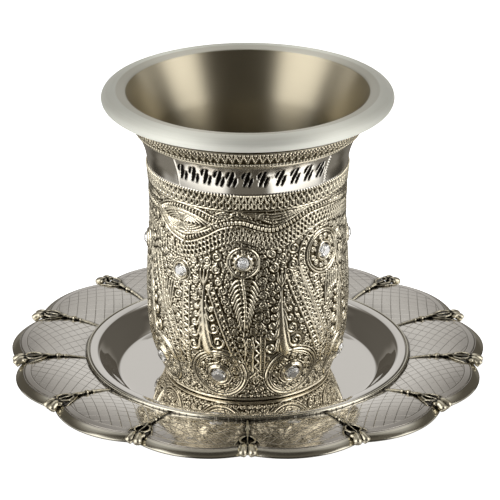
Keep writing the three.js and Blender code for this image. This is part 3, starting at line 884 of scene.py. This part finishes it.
carving.put(circle(2.9), left_stone, 0.17, 0.4)
for k in range(14):
    carving.stamp([off(left_stone, 3.5, k * 360 / 14)], 0.27, 0.4)
for *spot, radius in LOWER_STONES[:4] + HALF_UPPER:
    carving.put(circle(radius + STONE_GAP + 0.28), spot, 0.34, 0.85)
    carving.keep(spot, radius + 0.8)

# The waving ribbons under the upper border: two wires with beads between them, and a stitched
# band under the lower one.
WAVE = [
    (-60, 51), (-50, 47.6), (-39, 46.1), (-28, 48), (-15.5, 51.4), (-3.5, 52.3), (6, 50.9), (15, 50.1),
    (25, 51.6), (36, 53.7), (48, 54.3), (62, 53.8), (90, 52.2), (120, 51), (130, 47.6), (141, 46.1),
]
UPPER_WAVE = [(-62, 51.2), (-52, 53.6), (-41, 54.5), (-30, 53.9), (-22, 52.7), (-16.5, 51.9)]
STITCHED = [
    (-42, 42.7), (-33, 43.6), (-25, 45.4), (-15, 48.1), (-3.5, 49.2), (8, 47.7), (17, 47),
    (27, 48.6), (38, 50.6), (49, 51.3), (62, 50.6), (76, 49.4), (90, 48.6),
]
for ribbon in (WAVE, UPPER_WAVE):
    for hand in (-1, 1):
        carving.wire(ribbon, 0.19, 0.48, shift=1.08 * hand)
    carving.line_of([(0, 0.24), (0, 0.08), (0, -0.08), (0, -0.24)], ribbon, 1.0, 0.37, 0.52)
for shift in (1.25, 0.0, -1.25):
    carving.line_of(STITCH, STITCHED, 1.22, 0.17, 0.4, shift=shift, start=0.6 * (shift == 0))
carving.wire(STITCHED, 0.17, 0.4, shift=-2.1)
carving.line_of(STITCH, [(100, 47), (115, 46), (128, 43.5), (139, 42.5)], 1.22, 0.17, 0.4)
carving.line_of(STITCH, [(98, 45.7), (113, 44.7), (126, 42.2), (139, 41.2)], 1.22, 0.17, 0.4)

# Leaves between the ribbons and the border: a lens of nested ovals, a lined crescent, small
# lenses, and two more nested leaves further round.
for share in (1.0, 0.84, 0.68, 0.53, 0.39, 0.26, 0.14):
    carving.put(almond(9.2 * share, 3.1 * share, 0.9), (-41, 50.6), 0.19, 0.52)
for share in (1.0, 0.72, 0.46, 0.22):
    top = [(-3.5 + 8 * (1 - share), 55.2), (6, 55.3 - 1.7 * share), (15, 55.4 - 3.3 * share)]
    top += [(25, 55.4 - 2.2 * share), (37 - 9 * (1 - share), 55.4)]
    carving.wire(top, 0.2, 0.5)
carving.put(almond(2.2, 0.85), (-13.5, 54.2), 0.2, 0.42)
carving.put(almond(1.2, 0.35), (-13.5, 54.2), 0.16, 0.38)
carving.put(almond(2.6, 0.9), (-3.5, 54.4), 0.18, 0.46, tilt=-8)
carving.put(almond(1.3, 0.35), (-3.5, 54.4), 0.16, 0.42, tilt=-8)
for share in (1.0, 0.75, 0.5, 0.25):
    carving.put(almond(8 * share, 1.6 * share), (72, 54.3), 0.18, 0.4)
    carving.put(almond(6.5 * share, 1.5 * share), (104, 54.0), 0.18, 0.4)

# Loose scrolls, drops and rays.
LOOSE_SCROLLS = [
    (27.5, 44.3, 1.7, 1), (26.5, 39.9, 1.5, -1), (28, 36, 1.2, 1), (-18, 42.5, 1.3, -1), (-18, 38.8, 1.2, 1),
    (-17, 35.5, 1.0, -1), (14, 43.5, 1.2, 1), (15, 39.5, 1.3, -1), (-32, 40.5, 1.1, 1), (-50, 43.5, 1.4, -1),
    (66, 43.5, 1.6, 1), (68, 39.3, 1.4, -1), (110, 42, 1.5, 1), (118, 44.5, 1.2, -1), (80, 44.5, 1.5, 1),
]
for angle, height, radius, hand in LOOSE_SCROLLS:
    scroll = curl(radius, 1.7, 90, hand)
    carving.put(scroll, (angle, height), np.linspace(0.3, 0.18, len(scroll)), 0.44)
    carving.stamp([(angle, height)], 0.26, 0.42)
    carving.keep((angle, height), radius + 0.2)
for angle in (42, -45):
    for aside, height, size in ((0, 34.4, 0.85), (1, 32.2, 0.75), (2, 29.8, 0.85), (4, 26.9, 0.7)):
        carving.put(almond(size * 1.5, size), (angle + aside, height), 0.2, 0.42, tilt=35)
        carving.stamp([(angle + aside, height)], size * 0.6, 0.36)
for k in range(6):
    angle = 48 + 2.1 * k
    right_ray = [(49.5 + 0.5 * k, 26 + 0.8 * k), (angle + 1.5, 30.5), (angle + 3.5, 34.8)]
    left_ray = [(-58 + 1.1 * k, 20 + 0.8 * k), (-57 + 1.6 * k, 26), (-57 + 2.2 * k, 33)]
    carving.wire(right_ray, (0.14, 0.3, 0.16), 0.44)
    carving.wire(left_ray, (0.14, 0.3, 0.16), 0.42)

# The double row of stitches that closes the carving, and its beads.
STITCHES = 49
stitch = 180 / STITCHES * ground(58) * DEGREE
for k in range(STITCHES):
    middle = k * 180 / STITCHES
    carving.put(dense([(-stitch * 0.44, 1.0), (0, -0.9), (stitch * 0.44, 1.0)]), (middle, 58.6), 0.22, 0.5)
    carving.put(loop(stitch * 0.64, 1.5), (middle, 56.95), 0.2, 0.5)
    carving.stamp([(middle, 59.9), (middle + 90 / STITCHES, 59.9)], 0.34, 0.5)
carving.wire([(-5, 55.75), (90, 55.75), (185, 55.75)], 0.2, 0.5)

# Filling of the bare places: curls from large to small, and then grains.
FILLED_FROM = 1.8
FILLED_TO = 55.4
carving.bare &= carving.level < 0.1
for radius, tries in ((1.25, 2500), (1.0, 5000), (0.78, 9000), (0.6, 14000)):
    carving.fill(radius, tries, FILLED_FROM, FILLED_TO, 0.14 + 0.04 * radius, 0.34)
carving.grains(0.27, 20000, FILLED_FROM, FILLED_TO, 0.24)


def blurred(level, cells):
    """The mean over a square of cells, which goes on round the cup."""
    for axis in (0, 1):
        padding = [(0, 0), (0, 0)]
        padding[axis] = (cells, cells)
        padded = np.pad(level, padding, mode="edge" if axis == 0 else "wrap")
        total = np.cumsum(np.insert(padded, 0, 0, axis=axis), axis=axis)
        size = level.shape[axis]
        far = np.take(total, np.arange(size) + 2 * cells + 1, axis=axis)
        near = np.take(total, np.arange(size), axis=axis)
        level = (far - near) / (2 * cells + 1)
    return level


def shine_of(level, contrast, by_edge, by_height):
    """How bright the rubbing leaves the work: most where it stands out, and some by its height."""
    hollow = blurred(blurred(level, 2), 1)
    stands_out = np.clip(0.5 + (level - hollow) * contrast, 0, 1)
    return stands_out * by_edge + np.clip(level / FULL_HEIGHT, 0, 1) * by_height


def wall_normal(heights):
    """How the shell's wall faces at each height: outwards and upwards."""
    slope = (ground(heights + 0.3) - ground(heights - 0.3)) / 0.6
    size = np.hypot(1, slope)
    return 1 / size, -slope / size


def ring_of_shell(name, level, masks, heights, material, solid_foot=False):
    """One closed ring of the shell, with its work outside and a plain wall inside. A solid foot
    closes it with a floor."""
    azimuths = FRONT + np.arange(level.shape[1]) * 2 * math.pi / level.shape[1]
    out, up = wall_normal(heights)
    radii = ground(heights)[:, None] + level * out[:, None]
    outer = turned(radii, azimuths, CUP_BASE + heights[:, None] + level * up[:, None])
    inner_heights = np.linspace(heights[0], heights[-1], 4)
    if solid_foot:
        inner_heights[0] = SHELL_WALL + 0.5
    inner = [turned(ground(height) - SHELL_WALL, azimuths, CUP_BASE + height) for height in inner_heights]
    rows = inner + list(outer[::-1])
    first = len(inner)
    sharp = [first, first + len(level) - 1]
    if solid_foot:
        floor_rows = [turned(radius, azimuths, CUP_BASE + SHELL_WALL) for radius in (2, 19.5)]
        under_rows = [turned(radius, azimuths, CUP_BASE + heights[0]) for radius in (20.9, 12, 2)]
        rows = floor_rows + rows + under_rows
        first += len(floor_rows)
        sharp = [first]
    spread = {}
    for mask, values in masks.items():
        spread[mask] = np.zeros((len(rows), len(azimuths)))
        spread[mask][first : first + len(level)] = values[::-1]
    piece = skin(name, np.stack(rows), material, spread, closed=not solid_foot, sharp=sharp)
    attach(piece, "root")
    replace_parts(piece, "cup_shell")
    return piece


silver, start, shader = finish("antique_silver", Metallic=1.0, Roughness=0.3)
cloud = start.noise(90.0, 3.0)
grain = start.noise(1500.0, 2.0)
rubbed = (start.mask("shine") + (cloud - 0.5) * 0.3 + (grain - 0.5) * 0.15).rise(0.15, 0.7)
colour = rubbed.blend(BLACKENED, cloud.blend(DULL_SILVER, BRIGHT_SILVER))
seat = start.mask("seat")
vary(shader, Base_Color=seat.blend(colour, SEAT_SILVER))
vary(shader, Roughness=0.37 - 0.18 * rubbed + cloud * 0.06 - 0.1 * seat)
vary(shader, Normal=start.bump(0.3, 0.00005, grain))

# Both halves, made a little uneven, with a bright pit under each stone.
FULL_HEIGHT = 0.42
SEAT_SHARE = 0.95
PIT_MIDDLE = 0.46
RING_NAMES = ("shell_foot", "shell_trees", "shell_stones", "shell_ribbons")
FOOT_REACH = 0.2
whole = np.tile(carving.level, (1, 2))
uneven = np.random.default_rng(5).normal(0, 1, whole.shape)
uneven = blurred(blurred(uneven, 4), 4) * 0.35 + blurred(uneven, 1) * 0.03
whole = whole * (1 + 0.5 * uneven) + np.abs(uneven) * 0.25
carved_heights = np.linspace(0, CARVED_TOP, CARVED_ROWS)
carved_angles = np.arange(whole.shape[1]) * 360 / whole.shape[1]
seats = np.zeros_like(whole)
for angle, height, radius in LOWER_STONES + UPPER_STONES:
    aside = ((carved_angles - angle + 180) % 360 - 180) * ground(height) * DEGREE
    away = np.hypot(aside[None], carved_heights[:, None] - height) / radius
    seats[away < SEAT_SHARE] = 1
    whole = np.where(away < SEAT_SHARE, np.minimum(0, PIT_DEPTH * (away / PIT_MIDDLE - 1)), whole)
whole_shine = shine_of(whole, 3.2, 0.75, 0.25)
parts = np.linspace(0, CARVED_ROWS - 1, len(RING_NAMES) + 1).astype(int)
carved_heights[0] -= FOOT_REACH
for k, name in enumerate(RING_NAMES):
    rows = slice(parts[k], parts[k + 1] + 1)
    masks = {"shine": whole_shine[rows], "seat": seats[rows]}
    ring_of_shell(name, whole[rows], masks, carved_heights[rows], silver, solid_foot=k == 0)

# ---- Cup shell, lettering band ----
# A plain polished band between the carved borders, cast in one with them. Its front holds a panel
# with a row of shallow blackened strokes, which aren't letters, a thin line at its left end and a
# line of dots at its right end.
BAND_TOP = 68.9
BAND_ROWS = 45
BAND_COLUMNS = 2 * HALF_TURN_COLUMNS
BAND_SLOPE = 1.04
ENGRAVED = 0.12
BORDER_STEP = 0.25
PLAIN_SILVER = (0.80, 0.77, 0.70, 1)
INK = (0.006, 0.005, 0.004, 1)
STROKE_GROUPS = [(-38, 4, 7.4), (-9, 3, 8.4), (17.5, 4, 8.4)]
STROKES = [
    ([(-1.2, 63), (0.2, 64.8), (1.4, 67)], (0.35, 0.62, 0.4)),
    ([(1.5, 62.8), (2.3, 64), (3, 65.2)], (0.3, 0.5, 0.3)),
    ([(-2.2, 65.2), (-1.6, 66.2), (-0.7, 67)], (0.3, 0.45, 0.3)),
]
panel = Filigree(360, BAND_COLUMNS, CARVED_TOP, BAND_TOP, BAND_ROWS, slope=BAND_SLOPE)
for first, count, pitch in STROKE_GROUPS:
    for k in range(count):
        for stroke, widths in STROKES:
            panel.wire(moved(stroke, first + pitch * k), widths, 1)
ink_levels = np.clip(panel.level * 1.6, 0, 1)
marks = Filigree(360, BAND_COLUMNS, CARVED_TOP, BAND_TOP, BAND_ROWS, slope=BAND_SLOPE)
marks.wire([(-41.5, 60.8), (-41.5, 64), (-41.5, 68.5)], 0.25, 0.14)
marks.line_of(DOT, [(48.5, 61), (48.5, 68.4)], 0.8, 0.32, 0.3)
band_heights = np.linspace(CARVED_TOP, BAND_TOP, BAND_ROWS)
step = np.clip(1 - (BAND_TOP - band_heights) / 0.35, 0, 1)[:, None] ** 0.5
band_level = marks.level - ENGRAVED * ink_levels + BORDER_STEP * step
band_level[0] = whole[-1]

band_silver, start, shader = finish("polished_silver", Metallic=1.0, Roughness=0.1)
ink = start.mask("ink")
cloud = start.noise(120.0, 3.0)
vary(shader, Base_Color=ink.rise(0.25, 0.6).blend(PLAIN_SILVER, INK))
vary(shader, Roughness=0.09 + cloud * 0.08 + 0.45 * ink)
vary(shader, Normal=start.bump(0.1, 0.00005, cloud))
ring_of_shell("shell_band", band_level, {"ink": ink_levels}, band_heights, band_silver)

# ---- Cup shell, upper border ----
# A plait between two rows of beads, cast on the wall that flares out under the rim, and blackened
# and rubbed back like the carved part. It is rubbed back less, as painted shade from the rim above.
BORDER_TOP = 75.2
BORDER_ROWS = 42
BORDER_STITCHES = 100
BORDER_SLOPE = 1.22
border_work = Filigree(360, BAND_COLUMNS, BAND_TOP, BORDER_TOP, BORDER_ROWS, slope=BORDER_SLOPE)
pitch = 360 / BORDER_STITCHES
width = pitch * ground(71.5) * DEGREE
for k in range(BORDER_STITCHES):
    middle = k * pitch
    plait = dense([(-width * 0.46, 1.4), (0, -1.3), (width * 0.46, 1.4)])
    border_work.put(plait, (middle, 71.6), 0.2, 0.5)
    border_work.put(dense([(0, 1.2), (0, 0.5)]), (middle, 71.6), 0.2, 0.45)
    for height in (69.75, 73.45):
        border_work.stamp([(middle, height), (middle + pitch / 2, height)], 0.38, 0.5)
for height in (69.15, 74.1):
    border_work.wire([(angle, height) for angle in (-5, 90, 180, 270, 365)], 0.17, 0.4)
border_work.level[0] = band_level[-1]
# Painted shade: less rubbed brightness than the carved part, for the rim's shade over the border.
border_shine_and_rim_shade = shine_of(border_work.level, 3.6, 0.62, 0.24)
border_heights = np.linspace(BAND_TOP, BORDER_TOP, BORDER_ROWS)
ring_of_shell("shell_border", border_work.level, {"shine": border_shine_and_rim_shade}, border_heights, silver)

# ---- Stones ----
# Cut clear stones with a flat table and two rows of facets, each held by its bezel.
FACETS = 12
# Rings of a stone from its table down: share of its radius, height, and turn in facets.
STONE_RINGS = [(0.55, 1.5, 0.0), (0.82, 1.25, 0.5), (1.0, 0.92, 0.0), (1.0, 0.8, 0.0), (0.5, 0.2, 0.5)]
POINT_LIFT = 0.14
crystal, start, shader = finish("clear_crystal", Base_Color=(0.97, 0.98, 0.99, 1), Roughness=0.02, IOR=1.55)
shader.inputs["Transmission Weight"].default_value = 0.8


def facets_between(ring, offset_here, offset_next):
    """The faces between one ring of corners and the next."""
    faces = []
    for k in range(FACETS):
        a, b = ring * FACETS + k, ring * FACETS + (k + 1) % FACETS
        c, d = a + FACETS, b + FACETS
        if offset_next > offset_here:
            faces += [(a, c, b), (b, c, d)]
        elif offset_next < offset_here:
            faces += [(a, c, d), (a, d, b)]
        else:
            faces.append((a, c, d, b))
    return faces


def cut_stone(name, angle, height, radius):
    """One stone, with its table facing straight out of the shell."""
    azimuth = FRONT + angle * DEGREE
    out, up = wall_normal(np.array([height]))
    outward = Vector((out[0] * math.cos(azimuth), out[0] * math.sin(azimuth), up[0]))
    middle = Vector(turned(ground(height), azimuth, CUP_BASE + height))
    side = Vector((-math.sin(azimuth), math.cos(azimuth), 0))
    upward = outward.cross(side) * -1
    corners = []
    for share, lift, offset in STONE_RINGS:
        for k in range(FACETS):
            turn = (k + offset) * 2 * math.pi / FACETS
            aside = side * (radius * share * math.cos(turn)) + upward * (radius * share * math.sin(turn))
            corners.append((middle + outward * lift + aside) * MM)
    corners.append((middle + outward * (POINT_LIFT - PIT_DEPTH)) * MM)
    faces = [tuple(range(FACETS))]
    for ring in range(len(STONE_RINGS) - 1):
        faces += facets_between(ring, STONE_RINGS[ring][2], STONE_RINGS[ring + 1][2])
    last = (len(STONE_RINGS) - 1) * FACETS
    faces += [(last + k, len(corners) - 1, last + (k + 1) % FACETS) for k in range(FACETS)]
    mesh = bpy.data.meshes.new(name)
    mesh.from_pydata(corners, [], faces)
    mesh.materials.append(crystal)
    piece = stand(name, mesh)
    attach(piece, "root")
    return piece


for row, stones in (("lower", LOWER_STONES), ("upper", UPPER_STONES)):
    for k, stone in enumerate(stones, 1):
        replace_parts(cut_stone(f"cut_stone_{row}_{k}", *stone), f"stone_{row}_{k}")

# ---- Saucer ribs ----
# A cast rib lies over each seam between two petals: a thin stem, a few turned beads, a leaf, an
# open bow with two side arms, and a claw of two lobes that grips the dish's edge. The ribs are cast
# with the dish, blackened, and rubbed bright on top.
RIB_GRAIN = 0.24
TUBE_SIDES = 10
BALL_SIDES = 12
BLACK_NICKEL = (0.012, 0.010, 0.006, 1)
RUBBED_NICKEL = (0.68, 0.63, 0.50, 1)
# Places on a rib are radius from the cup's axis, distance aside, and lift over the valley.
BAR = [(43.0, 0, -0.35), (47, 0, -0.35), (53, 0, -0.35), (58, 0, -0.3), (60.4, 0, -0.35)]
STALK = [(43.4, 0, 0.05), (46, 0, 0.2), (49.6, 0, 0.3)]
MIDDLE_WIRE = [(55.6, 0, 0.55), (57.4, 0, 0.8), (59.8, 0, 0.75)]
BOW = [(55.3, 0.15, 0.5), (56.3, 1.35, 0.55), (58, 1.95, 0.65), (59.4, 1.5, 0.75), (60.0, 0.7, 0.8)]
ARM = [(54.4, 0.4, 0.25), (56.2, 1.9, 0.25), (58.2, 2.9, 0.25), (59.5, 3.5, 0.0)]
# The claw's lift is over the valley's outer end.
CLAW = [(60.1, 0.6, 0.4), (61.1, 0.85, 0.35), (62.2, 1.1, -0.2), (63.1, 1.45, -0.95)]
CLAW_START = 60.6
# Beads and the leaf: radius from the axis, lift, and half sizes along, across and up.
BEADS = [
    (49.4, 0.4, (0.42, 0.5, 0.5)), (50.3, 0.4, (0.22, 0.45, 0.45)), (51.3, 0.4, (0.68, 0.72, 0.72)),
    (52.3, 0.4, (0.22, 0.5, 0.5)), (53.1, 0.4, (0.42, 0.48, 0.48)), (54.6, 0.5, (1.5, 0.62, 0.6)),
]
rib_corners, rib_faces = [], []


def tube(path, radii, sides=TUBE_SIDES):
    """A closed round bar along a path, with a radius at each point, as corners and faces."""
    path = np.array(path, float)
    course = np.gradient(path, axis=0)
    course /= np.linalg.norm(course, axis=1)[:, None]
    aside = np.cross(course, (0, 0, 1.0))
    aside /= np.maximum(np.linalg.norm(aside, axis=1)[:, None], 1e-6)
    above = np.cross(aside, course)
    turns = np.arange(sides) * 2 * math.pi / sides
    radii = np.broadcast_to(radii, len(path))[:, None, None]
    ring = aside[:, None] * np.cos(turns)[:, None] + above[:, None] * np.sin(turns)[:, None]
    corners = (path[:, None] + ring * radii).reshape(-1, 3)
    faces = [tuple(range(sides))]
    for i in range(len(path) - 1):
        for k in range(sides):
            a, b = i * sides + k, i * sides + (k + 1) % sides
            faces.append((a, a + sides, b + sides, b))
    last = (len(path) - 1) * sides
    faces.append(tuple(last + k for k in reversed(range(sides))))
    return corners, faces


def ball(centre, reach):
    """An oval ball, as a bar that swells and closes."""
    angles = np.radians(np.linspace(-84, 84, 9))
    path = [(centre[0] + reach[0] * math.sin(a), centre[1], centre[2]) for a in angles]
    corners, faces = tube(path, np.cos(angles), BALL_SIDES)
    return (corners - centre) * (1, reach[1], reach[2]) + centre, faces


def over_valley(radius, lift):
    """The height of a lift over the seam between two petals."""
    return float(valley_height((radius - RING_RADIUS) / (NOTCH_RADIUS - RING_RADIUS)) + lift)


def rail(points, hand=1):
    """A smooth path through places on the rib, or through their mirrored places."""
    mirrored = [(x, hand * y, lift) for x, y, lift in points]
    return [(x, y, over_valley(x, lift)) for x, y, lift in smooth_curve(mirrored, 6)]


def add_to_rib(corners, faces):
    """Add one part, given in millimetres, to the rib."""
    first = len(rib_corners)
    rib_corners.extend(Vector(corner) * MM for corner in corners)
    rib_faces.extend(tuple(first + k for k in face) for face in faces)


add_to_rib(*tube(rail(BAR), 0.45))
add_to_rib(*tube(rail(STALK), np.linspace(0.2, 0.42, 13)))
for radius, lift, reach in BEADS:
    add_to_rib(*ball((radius, 0, over_valley(radius, lift)), reach))
add_to_rib(*tube(rail(MIDDLE_WIRE), 0.2))
for hand in (-1, 1):
    add_to_rib(*tube(rail(BOW, hand), 0.3))
    add_to_rib(*tube(rail(ARM, hand), np.linspace(0.3, 0.2, 19)))
    add_to_rib(*ball((60.5, hand * 1.6, VALLEY_OUTER + 0.35), (0.7, 0.8, 0.62)))
    claw = [(x, hand * y, VALLEY_OUTER + lift) for x, y, lift in smooth_curve(CLAW, 5)]
    claw_radii = np.interp(np.linspace(0, 1, len(claw)), (0, 0.4, 0.8, 1), (0.6, 1.0, 1.2, 1.0))
    add_to_rib(*tube(claw, claw_radii))

# The parts of one rib are melted together, and the rib is repeated over every seam.
rough = bpy.data.meshes.new("rib_rough")
rough.from_pydata(rib_corners, [], rib_faces)
rib = stand("rib_rough", rough)
melt = rib.modifiers.new("melt", "REMESH")
melt.mode = "VOXEL"
melt.voxel_size = RIB_GRAIN * MM
soften = rib.modifiers.new("soften", "SMOOTH")
soften.factor = 0.5
soften.iterations = 3
melted = bpy.data.meshes.new_from_object(rib.evaluated_get(bpy.context.evaluated_depsgraph_get()))
bpy.data.objects.remove(rib)
spots = read(melted.vertices, "co", 3)
normals = read(melted.vertices, "normal", 3)
ends = read(melted.edges, "vertices", 2, np.int32)
corner_numbers = read(melted.loops, "vertex_index", kind=np.int32)
rib_sizes = read(melted.polygons, "loop_total", kind=np.int32)


def mean_of_neighbours(values):
    """The mean of each corner's neighbours on the melted rib."""
    total = np.zeros_like(values)
    count = np.zeros(len(values))
    for here, there in ((0, 1), (1, 0)):
        np.add.at(total, ends[:, here], values[ends[:, there]])
        np.add.at(count, ends[:, here], 1)
    return total / count.reshape(-1, *[1] * (values.ndim - 1))


around = spots
for _ in range(5):
    around = mean_of_neighbours(around)
fullness = np.einsum("ij,ij->i", spots - around, normals) / (RIB_GRAIN * MM)
for _ in range(2):
    fullness = mean_of_neighbours(fullness)
on_claw = np.clip((spots[:, 0] / MM - CLAW_START) / 0.8, 0, 1)
rib_shine = np.clip(0.06 + fullness * 2.2 + 0.75 * on_claw, 0, 1)
rib_places, rib_loops = [], []
for k in range(PETALS):
    azimuth = FRONT + k * 2 * math.pi / PETALS
    c, s = math.cos(azimuth), math.sin(azimuth)
    x, y, z = spots.T
    rib_places.append(np.stack([x * c - y * s, x * s + y * c, z], -1))
    rib_loops.append(corner_numbers + k * len(spots))

antique_nickel, start, shader = finish("antique_nickel", Metallic=1.0, Roughness=0.22)
cloud = start.noise(150.0, 3.0)
rubbed = (start.mask("shine") + (cloud - 0.5) * 0.25).rise(0.4, 0.94)
vary(shader, Base_Color=rubbed.blend(BLACK_NICKEL, RUBBED_NICKEL))
vary(shader, Roughness=0.46 - 0.14 * rubbed + cloud * 0.04)
vary(shader, Normal=start.bump(0.15, 0.00005, cloud))

all_places = np.concatenate(rib_places)
all_loops = np.concatenate(rib_loops)
all_sizes = np.tile(rib_sizes, PETALS)
shines = {"shine": np.tile(rib_shine, PETALS)}
ribs = cast("saucer_ribs", all_places, all_loops, all_sizes, antique_nickel, shines)
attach(ribs, "root")
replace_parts(ribs, "saucer")
